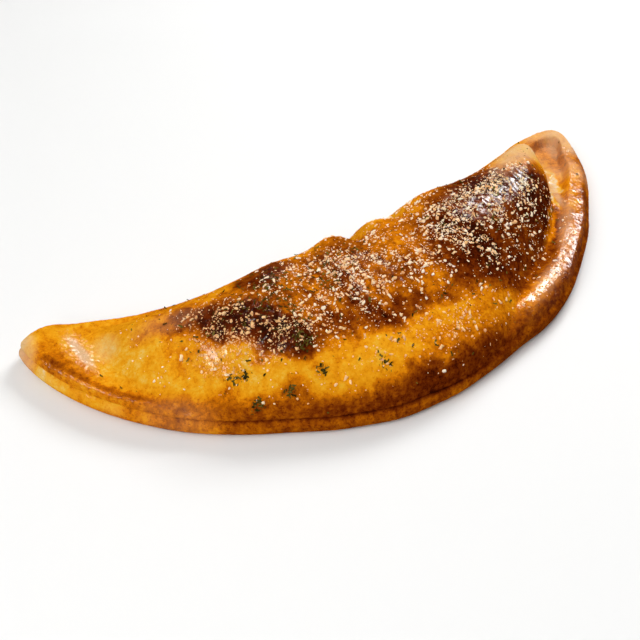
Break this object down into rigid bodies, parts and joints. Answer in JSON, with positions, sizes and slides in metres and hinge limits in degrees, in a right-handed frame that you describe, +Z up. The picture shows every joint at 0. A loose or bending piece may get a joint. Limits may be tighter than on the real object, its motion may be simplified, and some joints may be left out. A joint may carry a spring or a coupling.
{
  "type": "calzone",
  "caption": "Baked calzone: a long crescent of golden-brown dough folded over its filling, sealed along the round edge and dusted with grated cheese and dried herbs.",
  "frame": {"origin": "on the table, under the middle of the calzone's bounding box", "axes": "+X from the left tip to the right tip, along the longest extent; +Y from the round sealed edge towards the fold; +Z up from the table"},
  "size_m": [0.36, 0.1494, 0.0465],
  "materials": {
    "baked_crust": "satin",
    "grated_cheese": "matte",
    "dried_herbs": "matte"
  },
  "bodies": {
    "root": {"calzone": "baked_crust"}
  },
  "joints": []
}
